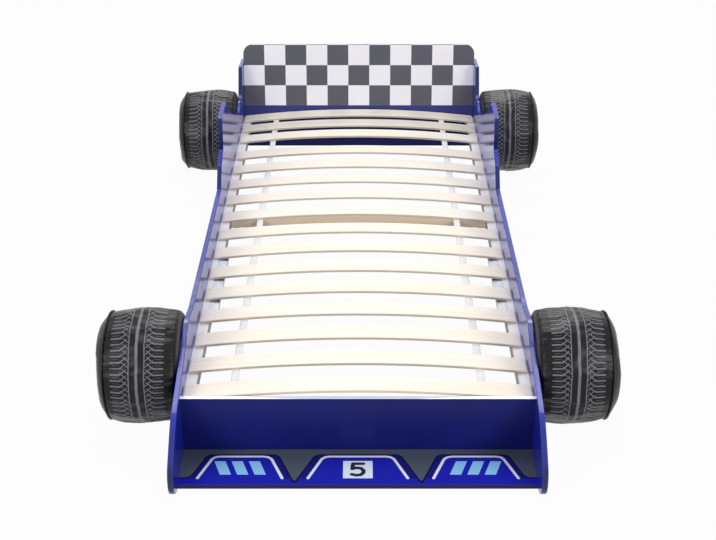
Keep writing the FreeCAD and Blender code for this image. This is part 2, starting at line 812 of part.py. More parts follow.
def tyre(side, axle_y):
    """Stuffed soft tyre: crowned tread, bulging outer wall, recess for its board, flat on the floor."""
    start_x = outer_x + tyre_clearance
    rings = [tyre_ring(start_x + x, axle_y, radius) for x, radius in tyre_profile()]
    solid = ring_solid(rings)
    recess_end = outer_x + wheel_board_thickness + wheel_board_clearance
    recess = disc_x(start_x - cut_margin, recess_end, axle_y, wheel_board_radius + wheel_board_clearance)
    under_floor = box(start_x - cut_margin, start_x + tyre_tread_width + tyre_wall_bulge + cut_margin,
                      axle_y - tyre_radius, axle_y + tyre_radius, -tyre_radius, 0)
    return on_side(solid.cut([recess, under_floor]), side)


def disc_x(x0, x1, axle_y, radius):
    """Disc with flat sides about the axle of a tyre."""
    return ring_solid([tyre_ring(x0, axle_y, radius), tyre_ring(x1, axle_y, radius)])


def wheel_board(side, axle_y):
    """Round board inside the tyre against the side panel, with pockets for its two threaded inserts."""
    disc = disc_x(outer_x, outer_x + wheel_board_thickness, axle_y, wheel_board_radius)
    tools = []
    for y, z in wheel_bolt_places():
        if abs(y - axle_y) < wheel_bolt_spread:
            tools.append(rod_x(outer_x - cut_margin, outer_x + insert_length + insert_fit, y, z,
                               insert_diameter + insert_fit))
            tools.append(rod_x(outer_x - cut_margin, outer_x + wheel_board_thickness + cut_margin, y, z,
                               wheel_bolt_diameter + insert_fit))
    return on_side(disc.cut(tools), side)


def wheel_inserts():
    """Threaded inserts pressed into the wheel boards."""
    inserts = []
    for y, z in wheel_bolt_places():
        sleeve = rod_x(outer_x, outer_x + insert_length, y, z, insert_diameter)
        bore = rod_x(outer_x - cut_margin, outer_x + insert_length + cut_margin, y, z,
                     wheel_bolt_diameter + insert_fit)
        insert = sleeve.cut(bore)
        inserts += [insert, mirrored(insert)]
    return inserts


def wheel_bolts():
    """Flat-headed bolts through the side panels into the inserts."""
    bolts = []
    for y, z in wheel_bolt_places():
        shank = rod_x(inner_x, inner_x + wheel_bolt_length, y, z, wheel_bolt_diameter)
        head = rod_x(inner_x - wheel_bolt_head_height, inner_x, y, z, wheel_bolt_head_diameter)
        bolt = head.fuse(shank).removeSplitter()
        bolts += [bolt, mirrored(bolt)]
    return bolts


# ---- write every sub-part ----

def main():
    os.makedirs("parts", exist_ok=True)
    save("footboard", footboard())
    save("front_wing", front_wing())
    save("head_panel", head_panel())
    save("headboard", headboard())
    save("cam_locks", cam_locks())
    save("cam_bolts", cam_bolts())
    save("dowels", dowels())
    for side in SIDES:
        save("side_panel_" + side, side_panel(side))
        for name, first_y, last_y in ledge_lengths():
            save("ledge_" + side + "_" + name, ledge(side, first_y, last_y))
        save("ledge_joint_" + side, joint_plate(side))
        save("strap_" + side, strap(side))
        for name, axle_y in (("front", front_axle_y), ("rear", rear_axle_y)):
            save("tyre_" + name + "_" + side, tyre(side, axle_y))
            save("wheel_board_" + name + "_" + side, wheel_board(side, axle_y))
    save("ledge_screws", ledge_screws())
    save("ledge_joint_screws", plate_screws())
    save("crossbeam", crossbeam())
    save("crossbeam_stirrups", crossbeam_stirrups())
    save("crossbeam_screws", crossbeam_screws())
    for index in range(slat_count):
        save("slat_%02d" % (index + 1), slat(index))
    save("slat_screws", slat_screws())
    save("wheel_inserts", wheel_inserts())
    save("wheel_bolts", wheel_bolts())


main()
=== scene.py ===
import json
import math

import bpy
import numpy as np
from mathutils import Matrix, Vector


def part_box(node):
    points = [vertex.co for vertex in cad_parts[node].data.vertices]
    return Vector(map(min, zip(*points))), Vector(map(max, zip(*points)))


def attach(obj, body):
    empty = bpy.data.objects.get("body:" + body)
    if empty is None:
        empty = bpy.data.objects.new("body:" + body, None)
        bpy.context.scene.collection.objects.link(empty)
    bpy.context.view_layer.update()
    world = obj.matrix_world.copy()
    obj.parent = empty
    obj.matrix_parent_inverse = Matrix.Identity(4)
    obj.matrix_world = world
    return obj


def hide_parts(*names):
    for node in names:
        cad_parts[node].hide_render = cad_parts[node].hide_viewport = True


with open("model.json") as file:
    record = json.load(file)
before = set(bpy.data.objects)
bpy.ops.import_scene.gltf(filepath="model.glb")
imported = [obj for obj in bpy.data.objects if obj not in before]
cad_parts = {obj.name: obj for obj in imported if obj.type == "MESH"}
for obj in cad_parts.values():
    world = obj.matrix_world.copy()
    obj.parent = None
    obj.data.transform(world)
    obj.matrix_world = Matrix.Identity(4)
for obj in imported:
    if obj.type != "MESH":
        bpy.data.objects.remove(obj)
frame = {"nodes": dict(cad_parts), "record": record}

# Dressing of the racing-car bed.  Everything is in metres, in the frame of the solids:
# X runs across the bed, +Y from the nose to the pillow end, +Z up, the floor is Z = 0.

NODES = frame["nodes"]
SIDES = {"left": -1, "right": 1}
AXLES = ("front", "rear")

# ---- the photograph's camera ----
IMAGE_WIDTH = 716
FOCAL_PIXELS = 1224.0
CENTRE_COLUMN = 360.45
SENSOR_WIDTH = 36.0
CAMERA_PLACE = (0.0067, -3.597, 1.996)
CAMERA_PITCH = 28.73

# ---- places read from the solids ----
PANEL_LOW, PANEL_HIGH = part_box("side_panel_right")
INNER_X = PANEL_LOW.x
OUTER_X = PANEL_HIGH.x
FOOTBOARD_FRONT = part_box("footboard")[0].y
SLAT_HALF_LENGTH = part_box("slat_01")[1].x
SLAT_NAMES = sorted(name for name in NODES if name.startswith("slat_") and name != "slat_screws")

# ---- the arc of the slats ----
SLAT_THICKNESS = 0.008
SLAT_CROWN = 0.028
VENEERS = 5
LEDGE_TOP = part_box("ledge_right_front")[1].z
SLAT_RADIUS = (SLAT_HALF_LENGTH ** 2 + SLAT_CROWN ** 2) / (2 * SLAT_CROWN)
SLAT_CENTRE_Z = LEDGE_TOP + SLAT_CROWN - SLAT_RADIUS

# ---- the tyres ----
TYRE_RADIUS = 0.159
TREAD_WIDTH = 0.195
SEAM_RADIUS = 0.146
WALL_BULGE = 0.025
WALL_RADIUS = 0.098
WALL_DIMPLE = 0.012
INNER_FACE_RADIUS = 0.122
INNER_SHOULDER = 0.016
PANEL_CLEARANCE = 0.0005
BOARD_RADIUS = 0.0905
BOARD_DEPTH = 0.0127
FLOOR_FLAT = 0.003
FLOOR_CUSHION = 0.004
FLOOR_GAP = 0.0004
WELT_PLACE = (TREAD_WIDTH + 0.0008, SEAM_RADIUS + 0.0016)
WELT_RADIUS = 0.0026
TYRE_SEGMENTS = 120
CROWN_STEPS = 26
SHOULDER_STEPS = 7
WALL_STEPS = 9
DISH_STEPS = 13
SLACK = 0.004
SWELL_CAP = 0.004
SWELL_SHARE = 0.5
SIMULATED_FRAMES = 20
TURN_PER_TYRE = 1.3
SEAM_GATHER = 0.0010
SHOULDER_GATHER = 0.0022
GATHER_WAVES = ((31, 0.45, 0.3), (47, 0.35, 1.9), (73, 0.25, 4.1))
DENT_DEPTH = 0.0015
DENT_WAVES = ((3, 0.5, 0.9), (5, 0.35, 2.2), (8, 0.3, 5.0))

# ---- the straps ----
STRAP_THICKNESS = 0.0012
STRAP_GAP = 0.0004
STRAP_SAG = 0.0025
STRAP_EDGE = 0.00015
STRAP_STEPS = 6
STRAP_RIB_PITCH = 0.0022
STRAP_THREAD_PITCH = 0.0016

# ---- the print on the tyres: its middle from the side panel, the rest of the tread from that middle ----
PRINT_CENTRE = 0.1040
RIBS_AROUND = 60
CENTRE_LINE_HALF_WIDTH = 0.0038
NET_START = 0.0205
NET_WIDTH = 0.023
NET_SLOPE = 1.15
RIB_START = 0.043
RIB_END = 0.0705
DASH_MIDDLE = 0.056
RIM_RADIUS = 0.068
HUB_RADIUS = 0.018
SPOKES = 5
SPOKE_START = 0.031
SPOKE_END = 0.061

# ---- the blue film: its darker tone is scaled by this share for the painted shade on edges that face ahead ----
PAINTED_SHADE_SHARE = 0.62

# ---- the chequered headboard ----
CHEQUER_COLUMNS = 11
CHEQUER_ROWS = 3
CHEQUER_LOW = 0.204
CHEQUER_HIGH = 0.4395

# ---- the artwork on the front wing: points are (from the middle of the bed, ahead of the footboard) ----
BAY_BACK = 0.0205
BAY_CORNER = 0.014
BAY_RIM = 0.005
NOTCH_CORNER = 0.007
NOTCH_TIP = (0.163, 0.136)
MIDDLE_BAY_CORNER = (0.113, BAY_BACK)
OUTER_BAY_CORNERS = ((0.209, BAY_BACK), (0.397, BAY_BACK))
OUTER_BAY_FRONT = (0.430, 0.110)
END_GROUND_FRONT = 0.117
FRONT_STRIP = 0.123
ARCH_BACK = 0.030
ARCH_FRONT = 0.1206
ARCH_HALF_WIDTH = 0.0038
MIDDLE_ARCH = [(0.0, ARCH_BACK), (0.0736, ARCH_BACK), (0.086, 0.0325), (0.095, 0.041),
               (0.1284, ARCH_FRONT)]
OUTER_ARCH = [(0.4127, ARCH_FRONT), (0.383, 0.041), (0.375, 0.0325), (0.362, ARCH_BACK),
              (0.2487, ARCH_BACK), (0.236, 0.0325), (0.2265, 0.041), (0.1946, ARCH_FRONT)]
BAR_MIDDLE = (0.30665, 0.078)
BAR_HALF_SIZE = (0.0145, 0.028)
BAR_PITCH = 0.045
BAR_SLANT = 0.35
BOX_AHEAD = 0.085
BOX_HALF_SIZE = (0.0383, 0.036)
FIGURE_HALF_STROKE = 0.0056
FIGURE = [(0.014, 0.0605), (-0.0125, 0.0605), (-0.0145, 0.082), (-0.004, 0.0775), (0.008, 0.0795),
          (0.0145, 0.088), (0.0145, 0.098), (0.0075, 0.1065), (-0.0035, 0.1085), (-0.0155, 0.1045)]
PRINT_EDGE = 0.0004

# ---- light: name, place, point aimed at, size and watts of each lamp ----
LAMPS = (
    ("softbox_above", (0.0, 0.4, 3.6), (0.0, 0.0, 0.0), (2.4, 1.5), 43),
    ("softbox_back", (0.0, 4.6, 4.05), (0.0, -0.6, 0.2), (3.6, 0.8), 90),
    ("softbox_left", (-3.6, -4.2, 2.9), (0.0, 0.4, 0.25), (2.2, 2.0), 105),
    ("softbox_right", (3.6, -4.2, 2.9), (0.0, 0.4, 0.25), (2.2, 2.0), 105),
)
AMBIENT = 0.34
FLOOR_GLOW = 0.96
FLOOR_REACH = 30.0
FLOOR_LEVEL = -0.0006


# ---------------------------------------------------------------- numbers over a surface

def linear(red, green, blue):
    """Linear colour from 0-255 screen values."""
    return tuple((value / 255 / 12.92) if value <= 10 else ((value / 255 + 0.055) / 1.055) ** 2.4
                 for value in (red, green, blue)) + (1.0,)


class Field:
    """A number that varies over a surface; arithmetic on it adds Math nodes."""

    def __init__(self, tree, socket):
        self.tree = tree
        self.socket = socket

    def node(self, operation, *others):
        """The outcome of one Math node on this field and other fields or numbers."""
        node = self.tree.nodes.new("ShaderNodeMath")
        node.operation = operation
        for slot, value in zip(node.inputs, (self,) + others):
            if isinstance(value, Field):
                self.tree.links.new(value.socket, slot)
            else:
                slot.default_value = value
        return Field(self.tree, node.outputs[0])

    def __add__(self, other):
        return self.node("ADD", other)

    def __sub__(self, other):
        return self.node("SUBTRACT", other)

    def __rsub__(self, other):
        return (self * -1) + other

    def __mul__(self, other):
        return self.node("MULTIPLY", other)

    def __truediv__(self, other):
        return self.node("DIVIDE", other)

    def abs(self):
        return self.node("ABSOLUTE")

    def least(self, other):
        return self.node("MINIMUM", other)

    def most(self, other):
        return self.node("MAXIMUM", other)

    def fraction(self):
        return self.node("FRACT")

    def floor(self):
        return self.node("FLOOR")

    def sine(self):
        return self.node("SINE")

    def root(self):
        return self.node("SQRT")

    def step(self, low, high):
        """0 below low and 1 above high, with a smooth rise between; low may be the larger."""
        node = self.tree.nodes.new("ShaderNodeMapRange")
        node.interpolation_type = "SMOOTHSTEP"
        self.tree.links.new(self.socket, node.inputs["Value"])
        node.inputs["From Min"].default_value = min(low, high)
        node.inputs["From Max"].default_value = max(low, high)
        node.inputs["To Min"].default_value = 0.0 if low < high else 1.0
        node.inputs["To Max"].default_value = 1.0 if low < high else 0.0
        return Field(self.tree, node.outputs["Result"])

    def band(self, centre, half_width, soft):
        """1 within half_width of centre, fading to 0 over soft."""
        return (self - centre).abs().step(half_width + soft, half_width - soft)

    def stripes(self, low, high):
        """One stripe to each whole number, rising from 0 at low to 1 at high, where 0.5 is its middle."""
        return (self.fraction() - 0.5).abs().step(low, high)

    def printed(self):
        """1 inside a printed shape, where the depth inside it is positive, with a crisp edge."""
        return self.step(-PRINT_EDGE, PRINT_EDGE)


def left_of(u, v, start, end):
    """Distance of the point (u, v) from the line through start and end, positive on its left."""
    run = end[0] - start[0]
    rise = end[1] - start[1]
    length = math.hypot(run, rise)
    return u * (-rise / length) + v * (run / length) + (rise * start[0] - run * start[1]) / length


def from_stroke(u, v, points):
    """Distance of the point (u, v) from a chain of straight strokes."""
    nearest = None
    for start, end in zip(points, points[1:]):
        run = end[0] - start[0]
        rise = end[1] - start[1]
        length = math.hypot(run, rise)
        along = (u - start[0]) * (run / length) + (v - start[1]) * (rise / length)
        along = along.most(0.0).least(length)
        du = u - start[0] - along * (run / length)
        dv = v - start[1] - along * (rise / length)
        distance = (du * du + dv * dv).root()
        nearest = distance if nearest is None else nearest.least(distance)
    return nearest


def rounded_both(first, second, radius):
    """Depth inside two half planes at once, with their corner rounded."""
    short_first = (radius - first).most(0.0)
    short_second = (radius - second).most(0.0)
    return radius - (short_first * short_first + short_second * short_second).root()


class Surface:
    """A material being made: its coordinates, its colours and its shader."""

    def __init__(self, name):
        self.material = bpy.data.materials.new(name)
        self.material.use_nodes = True
        self.tree = self.material.node_tree
        self.shader = self.tree.nodes["Principled BSDF"]
        self.place = self.tree.nodes.new("ShaderNodeTexCoord").outputs["Object"]
        self.x, self.y, self.z = self.axes(self.place)
        geometry = self.tree.nodes.new("ShaderNodeNewGeometry")
        self.facing_x, self.facing_y, self.facing_z = self.axes(geometry.outputs["True Normal"])

    def axes(self, vector):
        """The three numbers of a vector."""
        split = self.tree.nodes.new("ShaderNodeSeparateXYZ")
        self.tree.links.new(vector, split.inputs[0])
        return [Field(self.tree, socket) for socket in split.outputs]

    def stretched(self, stretch):
        """The surface point with each axis multiplied, for patterns longer one way than another."""
        node = self.tree.nodes.new("ShaderNodeVectorMath")
        node.operation = "MULTIPLY"
        self.tree.links.new(self.place, node.inputs[0])
        node.inputs[1].default_value = stretch
        return node.outputs[0]

    def noise(self, stretch, detail=3.0, roughness=0.55, distortion=0.0):
        """Soft cloudy field about 0.5, with stretch cells to the metre along each axis."""
        node = self.tree.nodes.new("ShaderNodeTexNoise")
        self.tree.links.new(self.stretched(stretch), node.inputs["Vector"])
        node.inputs["Scale"].default_value = 1.0
        node.inputs["Detail"].default_value = detail
        node.inputs["Roughness"].default_value = roughness
        node.inputs["Distortion"].default_value = distortion
        return Field(self.tree, node.outputs["Fac"])

    def cells(self, stretch):
        """Distance to the nearest cell centre, for pebbled grain."""
        node = self.tree.nodes.new("ShaderNodeTexVoronoi")
        self.tree.links.new(self.stretched(stretch), node.inputs["Vector"])
        node.inputs["Scale"].default_value = 1.0
        return Field(self.tree, node.outputs["Distance"])

    def blend(self, first, second, share):
        """Colour between two others, by a field."""
        node = self.tree.nodes.new("ShaderNodeMix")
        node.data_type = "RGBA"
        self.tree.links.new(share.socket, node.inputs["Factor"])
        for slot, colour in (("A", first), ("B", second)):
            socket = next(s for s in node.inputs if s.name == slot and s.type == "RGBA")
            if isinstance(colour, tuple):
                socket.default_value = colour
            else:
                self.tree.links.new(colour, socket)
        return next(s for s in node.outputs if s.type == "RGBA")

    def finish(self, colour, roughness, height=None, depth=0.0005, **numbers):
        """Link the colour, roughness and relief, set the plain numbers, and return the material."""
        self.tree.links.new(colour, self.shader.inputs["Base Color"])
        self.tree.links.new(roughness.socket, self.shader.inputs["Roughness"])
        if height is not None:
            bump = self.tree.nodes.new("ShaderNodeBump")
            bump.inputs["Distance"].default_value = depth
            self.tree.links.new(height.socket, bump.inputs["Height"])
            self.tree.links.new(bump.outputs[0], self.shader.inputs["Normal"])
        for name, value in numbers.items():
            self.shader.inputs[name.replace("_", " ")].default_value = value
        return self.material


# ---------------------------------------------------------------- materials

def film(name, colour, shade, gloss, mirror, coat, painted_top_reflection=None):
    """Board faced with glossy film: faint mottle and rubbing marks, a glossier edge where it faces up,
    made paler there by a painted reflection where such a colour is given, and painted shade on the side
    panels' edges that face ahead."""
    surface = Surface(name)
    mottle = surface.noise((3, 3, 3), 4)
    waviness = surface.noise((16, 16, 16), 2)
    rubbed = surface.noise((40, 5, 90), 5, 0.7)
    tone = surface.blend(linear(*colour), linear(*shade), mottle.step(0.35, 0.75))
    faces_up = surface.facing_z.step(0.90, 0.98)
    # Painted reflection: where a colour is given, faces that point up are made paler.
    if painted_top_reflection is not None:
        tone = surface.blend(tone, linear(*painted_top_reflection), faces_up)
    # Painted shade: the side panels' edges that face ahead get the film's darker tone, scaled down.
    painted_edge_shade = [PAINTED_SHADE_SHARE * value for value in shade]
    on_panel = surface.x.abs().step(INNER_X - 0.002, INNER_X)
    tone = surface.blend(tone, linear(*painted_edge_shade), surface.facing_y.step(-0.45, -0.85) * on_panel)
    surface.tree.links.new((faces_up * coat).socket, surface.shader.inputs["Coat Weight"])
    roughness = rubbed.step(0.45, 0.85) * 0.10 + gloss
    return surface.finish(tone, roughness, waviness + rubbed * 0.02, 0.0006,
                          Specular_IOR_Level=mirror, Coat_Roughness=0.12)


def wood(name, light, dark, grain=(1.5, 60, 60), gloss=0.38, relief=0.0002):
    """Planed wood whose grain runs along the axis with the smallest stretch."""
    surface = Surface(name)
    streaks = surface.noise(grain, 5, 0.6, 0.6)
    fine = surface.noise(tuple(6 * s for s in grain), 3, 0.6)
    tone = surface.blend(linear(*light), linear(*dark), streaks.step(0.35, 0.72) * 0.7 + fine * 0.25)
    return surface.finish(tone, fine * 0.2 + gloss, streaks + fine, relief)


def ledge_wood():
    """White-lacquered pine ledge; its side faces carry a grey painted shade."""
    surface = Surface("pine_ledge")
    streaks = surface.noise((60, 1.5, 60), 5, 0.6, 0.6)
    fine = surface.noise((360, 9, 360), 3, 0.6)
    lacquered = surface.blend(linear(252, 250, 247), linear(240, 234, 226), streaks.step(0.4, 0.75))
    # Painted shade: faces that point across the bed are turned grey.
    painted_side_shade = surface.blend(linear(150, 144, 138), linear(112, 106, 102), streaks)
    tone = surface.blend(lacquered, painted_side_shade, surface.facing_x.abs().step(0.5, 0.8))
    return surface.finish(tone, fine * 0.2 + 0.4, streaks + fine, 0.0002)


def slat_wood():
    """Birch plywood: satin veneer with long pale grain on top, stacked veneers on the sawn edges."""
    surface = Surface("birch_plywood")
    streaks = surface.noise((2.2, 75, 20), 5, 0.6, 0.8)
    fine = surface.noise((14, 520, 140), 3, 0.6)
    patches = surface.noise((2.5, 6, 6), 2)
    grain = streaks.step(0.38, 0.75) * 0.55 + fine * 0.18
    face = surface.blend(linear(251, 245, 234), linear(240, 225, 200), grain)
    face = surface.blend(face, linear(249, 238, 218), patches.step(0.42, 0.7) * 0.6)
    rise = surface.z - SLAT_CENTRE_Z
    radius = (surface.x * surface.x + rise * rise).root()
    layer = (radius - SLAT_RADIUS) / (SLAT_THICKNESS / VENEERS)
    dark_veneer = (layer * 0.5).fraction().step(0.48, 0.52)
    sawn = surface.noise((180, 40, 900), 3, 0.7)
    edge = surface.blend(linear(236, 226, 208), linear(206, 186, 160), dark_veneer * 0.7 + sawn * 0.25)
    on_edge = surface.facing_z.abs().step(0.5, 0.3)
    tone = surface.blend(face, edge, on_edge)
    roughness = fine * 0.15 + on_edge * 0.25 + 0.34
    relief = streaks * 0.5 + fine * 0.5 + dark_veneer * on_edge * 0.4
    return surface.finish(tone, roughness, relief, 0.00025)


def chequered_film():
    """Printed film of the headboard: three rows of dark and pale squares over a blue foot."""
    surface = Surface("chequered_film")
    column = (surface.x + INNER_X) / (2 * INNER_X / CHEQUER_COLUMNS)
    row = (surface.z - CHEQUER_LOW) / ((CHEQUER_HIGH - CHEQUER_LOW) / CHEQUER_ROWS)
    parity = (column.floor() + row.floor()).node("MODULO", 2.0)
    odd = parity.abs().step(0.4, 0.6)
    mottle = surface.noise((5, 5, 5), 3)
    pale = surface.blend(linear(250, 249, 253), linear(244, 243, 249), mottle)
    dark = surface.blend(linear(82, 84, 96), linear(72, 74, 84), mottle)
    blue = surface.blend(linear(24, 32, 126), linear(20, 27, 108), mottle)
    squares = surface.blend(dark, pale, odd)
    in_front = surface.facing_y.step(0.2, -0.2)
    tone = surface.blend(blue, squares, (surface.z - CHEQUER_LOW).printed() * in_front)
    rubbed = surface.noise((60, 20, 20), 4, 0.7)
    waviness = surface.noise((14, 14, 14), 2)
    return surface.finish(tone, rubbed * 0.1 + 0.2, waviness + rubbed * 0.03, 0.0006,
                          Coat_Weight=0.2, Coat_Roughness=0.08)


def wing_film():
    """Printed film of the front wing: grey ground and three blue bays with arches, a figure and bars."""
    surface = Surface("wing_film")
    across = surface.x.abs()
    ahead = FOOTBOARD_FRONT - surface.y

    behind = ahead - BAY_BACK
    middle_side = left_of(across, ahead, MIDDLE_BAY_CORNER, NOTCH_TIP)
    inner_side = left_of(across, ahead, NOTCH_TIP, OUTER_BAY_CORNERS[0])
    outer_side = left_of(across, ahead, OUTER_BAY_CORNERS[1], OUTER_BAY_FRONT)
    end_ground = rounded_both(outer_side * -1, END_GROUND_FRONT - ahead, BAY_CORNER)
    middle_bay = rounded_both(behind, middle_side, BAY_CORNER)
    outer_bay = rounded_both(rounded_both(behind, inner_side, BAY_CORNER), end_ground * -1, BAY_CORNER)
    ground = rounded_both(middle_bay * -1, outer_bay * -1, NOTCH_CORNER)

    under_middle = left_of(across, ahead, MIDDLE_ARCH[-2], MIDDLE_ARCH[-1])
    under_inner = left_of(across, ahead, OUTER_ARCH[-1], OUTER_ARCH[-2])
    under_outer = left_of(across, ahead, OUTER_ARCH[1], OUTER_ARCH[0])
    under = under_middle.most(under_inner.least(under_outer)).least(ahead - ARCH_BACK)
    under = under.most((ahead - FRONT_STRIP) * 0.5)
    arch = from_stroke(across, ahead, MIDDLE_ARCH).least(from_stroke(across, ahead, OUTER_ARCH))

    along = across - BAR_MIDDLE[0] + (ahead - BAR_MIDDLE[1]) * BAR_SLANT
    from_bar = along.abs().least((along - BAR_PITCH).abs()).least((along + BAR_PITCH).abs())
    bars = (BAR_HALF_SIZE[0] - from_bar).least(BAR_HALF_SIZE[1] - (ahead - BAR_MIDDLE[1]).abs())
    box = (BOX_HALF_SIZE[0] - across).least(BOX_HALF_SIZE[1] - (ahead - BOX_AHEAD).abs())
    figure = from_stroke(surface.x, ahead, FIGURE)

    mottle = surface.noise((3, 3, 3), 4)
    speck = surface.noise((400, 400, 400), 2)
    bright = surface.blend(linear(30, 34, 184), linear(34, 38, 172), mottle)
    navy = surface.blend(linear(22, 27, 122), linear(26, 31, 116), mottle)
    grey = surface.blend(linear(76, 84, 100), linear(84, 92, 104), speck)
    tone = surface.blend(navy, bright, under.step(-0.001, 0.001))
    tone = surface.blend(tone, linear(16, 20, 74), (ground + BAY_RIM).printed())
    tone = surface.blend(tone, grey, ground.printed())
    tone = surface.blend(tone, linear(238, 238, 253), (ARCH_HALF_WIDTH - arch).printed())
    tone = surface.blend(tone, linear(142, 204, 244), bars.printed())
    tone = surface.blend(tone, linear(226, 238, 253), box.printed())
    tone = surface.blend(tone, linear(46, 48, 64), (FIGURE_HALF_STROKE - figure).printed())
    # Painted shade: faces of the wing that do not point up are made dark navy.
    tone = surface.blend(linear(18, 23, 84), tone, surface.facing_z.step(0.5, 0.7))
    roughness = surface.noise((40, 40, 40), 4, 0.7) * 0.08 + 0.16
    waviness = surface.noise((14, 14, 14), 2)
    return surface.finish(tone, roughness, waviness, 0.0006, Specular_IOR_Level=0.22)


def leatherette():
    """Soft dark leatherette printed with a tread pattern and, on the outer wall, a plain rim."""
    surface = Surface("printed_leatherette")
    sway = surface.noise((0.5, 9, 9), 2)
    off_centre = (surface.x.abs() - PRINT_CENTRE + (sway - 0.5) * 0.006).abs()
    angle = surface.y.node("ARCTAN2", surface.z)
    turn = angle * (RIBS_AROUND / (2 * math.pi))
    broken = surface.noise((170, 170, 170), 3, 0.6).step(0.34, 0.46)

    centre_line = off_centre.band(0.0, CENTRE_LINE_HALF_WIDTH, 0.0008)
    border_line = off_centre.band(NET_START, 0.0014, 0.0005)
    net_share = (off_centre - NET_START) / NET_WIDTH
    rising = (turn + net_share * NET_SLOPE).stripes(0.36, 0.43) * net_share.step(0.22, 0.30)
    falling = (turn - net_share * NET_SLOPE).stripes(0.38, 0.45) * broken
    net = rising.most(falling) * net_share.step(0.0, 0.01) * net_share.step(1.04, 1.0)
    on_ribs = off_centre.step(RIB_START - 0.0005, RIB_START + 0.0005)
    on_ribs = on_ribs * off_centre.step(RIB_END + 0.001, RIB_END - 0.001)
    rib = (turn + 0.15).stripes(0.34, 0.41) * on_ribs * (broken * 0.5 + 0.5)
    dash = (turn + 0.65).stripes(0.43, 0.47) * off_centre.band(DASH_MIDDLE, 0.009, 0.001) * 0.45
    on_tread = surface.x.abs().step(TREAD_WIDTH + 0.001, TREAD_WIDTH - 0.001)
    pattern = centre_line.most(border_line).most(net).most(rib).most(dash) * on_tread

    reach = (surface.y * surface.y + surface.z * surface.z).root()
    on_wall = surface.x.abs().step(TREAD_WIDTH + 0.001, TREAD_WIDTH + 0.003)
    spokes = ((angle * (SPOKES / (2 * math.pi))).fraction() - 0.5).abs().step(0.30, 0.27)
    spokes = spokes * reach.step(SPOKE_START - 0.001, SPOKE_START + 0.001)
    spokes = spokes * reach.step(SPOKE_END + 0.001, SPOKE_END - 0.001)
    rim = reach.band(RIM_RADIUS, 0.005, 0.0008).most(spokes).most(reach.band(HUB_RADIUS, 0.007, 0.0008))

    worn = surface.noise((60, 60, 60), 4, 0.6)
    dark = surface.blend(linear(7, 7, 9), linear(15, 15, 18), worn)
    ink = surface.blend(linear(132, 132, 140), linear(98, 98, 106), worn)
    tone = surface.blend(surface.blend(dark, ink, pattern), linear(104, 106, 112), rim * on_wall)
    grain = surface.cells((900, 900, 900))
    creases = surface.noise((35, 35, 35), 3, 0.5, 0.4)
    roughness = worn * 0.12 + 0.27 + pattern * 0.08
    return surface.finish(tone, roughness, grain * 0.10 + creases * 0.9, 0.0012, Specular_IOR_Level=0.24)


def webbing():
    """White woven tape: ribs across it, threads along it and a little fuzz."""
    surface = Surface("white_webbing")
    ribs = (surface.y * (2 * math.pi / STRAP_RIB_PITCH)).sine()
    warp = (surface.x * (2 * math.pi / STRAP_THREAD_PITCH)).sine()
    fuzz = surface.noise((500, 500, 500), 3)
    weave = ribs * warp * 0.5 + 0.5
    tone = surface.blend(linear(254, 254, 254), linear(240, 240, 243), weave * 0.5 + fuzz * 0.3)
    return surface.finish(tone, fuzz * 0.2 + 0.7, weave + fuzz * 0.3, 0.0004)


def steel(name, colour, shade, brush):
    """Zinc-plated sheet or fitting with a drawn grain and small spangles."""
    surface = Surface(name)
    lines = surface.noise(brush, 4, 0.6)
    spangle = surface.cells((160, 160, 160))
    tone = surface.blend(linear(*colour), linear(*shade), lines * 0.6 + spangle * 0.4)
    return surface.finish(tone, lines * 0.25 + 0.28, lines, 0.0001, Metallic=0.9)


def chipboard():
    """Raw chipboard of many flakes; the cover's dark lining is drawn over its rim and faces."""
    surface = Surface("chipboard")
    flakes = surface.cells((260, 260, 120))
    tint = surface.noise((120, 120, 120), 4)
    tone = surface.blend(linear(196, 162, 120), linear(142, 108, 74), flakes * 0.7 + tint * 0.4)
    lining = surface.blend(linear(20, 20, 23), linear(30, 30, 34), tint)
    covered = surface.facing_x.abs().step(0.6, 0.9).most(0.9)
    tone = surface.blend(tone, lining, covered)
    return surface.finish(tone, tint * 0.2 + 0.65, flakes + tint, 0.0005)


def slot_materials():
    """One material for each slot of the record."""
    return {
        "side_board": film("blue_film", (32, 46, 164), (26, 38, 146), 0.14, 0.45, 0.3),
        # The footboard and head panel take a darker copy of the side panels' blue film as painted shade,
        # with a pale painted reflection on faces that point up.
        "cross_board": film("blue_film_painted_shade", (20, 28, 110), (16, 23, 98), 0.34, 0.20, 0.6,
                            painted_top_reflection=(222, 226, 246)),
        "wing_board": wing_film(),
        "chequered_board": chequered_film(),
        "slat_wood": slat_wood(),
        "ledge_wood": ledge_wood(),
        "beam_wood": wood("pine_beam", (252, 232, 206), (236, 208, 178)),
        "wheel_board_wood": chipboard(),
        "dowel_wood": wood("beech_dowel", (214, 182, 140), (176, 136, 94), grain=(8, 400, 400)),
        "tyre_cover": leatherette(),
        "webbing": webbing(),
        "angle_steel": steel("zinc_sheet", (176, 178, 184), (132, 134, 142), (300, 6, 300)),
        "fitting_steel": steel("zinc_fitting", (190, 190, 194), (150, 150, 156), (40, 400, 400)),
    }


# ---------------------------------------------------------------- pieces

def new_piece(name, points, faces, material):
    """A smooth mesh object in the scene that rides on the bed."""
    mesh = bpy.data.meshes.new(name)
    mesh.from_pydata(points, [], faces)
    mesh.update()
    mesh.polygons.foreach_set("use_smooth", [True] * len(mesh.polygons))
    mesh.materials.append(material)
    piece = bpy.data.objects.new(name, mesh)
    bpy.context.scene.collection.objects.link(piece)
    return piece


def arc(centre_x, centre_r, radius, first, last, steps):
    """Points of an arc in a tyre's half section, angles in degrees."""
    angles = [math.radians(first + (last - first) * i / steps) for i in range(steps + 1)]
    return [(centre_x + radius * math.cos(a), centre_r + radius * math.sin(a)) for a in angles]


